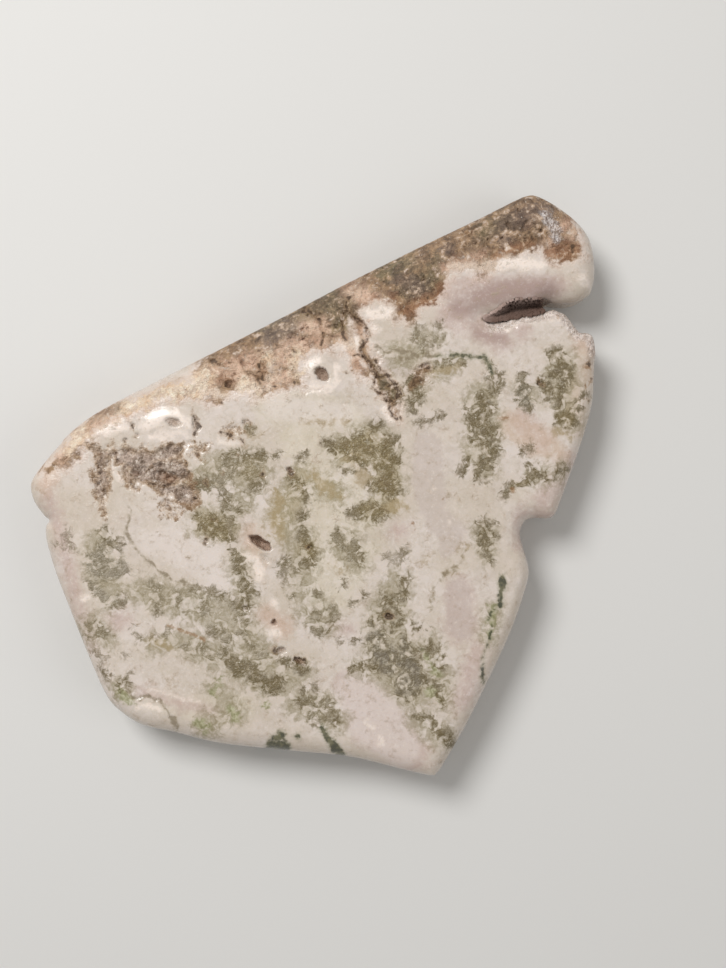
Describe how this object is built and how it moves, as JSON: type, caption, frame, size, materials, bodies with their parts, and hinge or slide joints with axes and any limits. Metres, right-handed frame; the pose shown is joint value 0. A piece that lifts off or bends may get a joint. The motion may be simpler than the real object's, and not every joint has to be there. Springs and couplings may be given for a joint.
{
  "type": "moss agate slab",
  "caption": "Polished free-form slab of moss agate with rounded edges, a rough rind along one long edge, pits, and a fissure lined with tiny crystals.",
  "frame": {"origin": "under the middle of the slab's box, on the plane that the flat back rests on", "axes": "+Z out of the polished face, +Y towards the rind along the long upper edge, +X to the right of the face"},
  "size_m": [0.1178, 0.1216, 0.0155],
  "materials": {
    "polished_moss_agate": "polished chalcedony with moss inclusions and a rough tan rind",
    "quartz_druse": "crust of tiny brown-grey quartz crystals"
  },
  "bodies": {
    "root": {"agate_slab": "polished_moss_agate", "fissure_druse": "quartz_druse"}
  },
  "joints": []
}
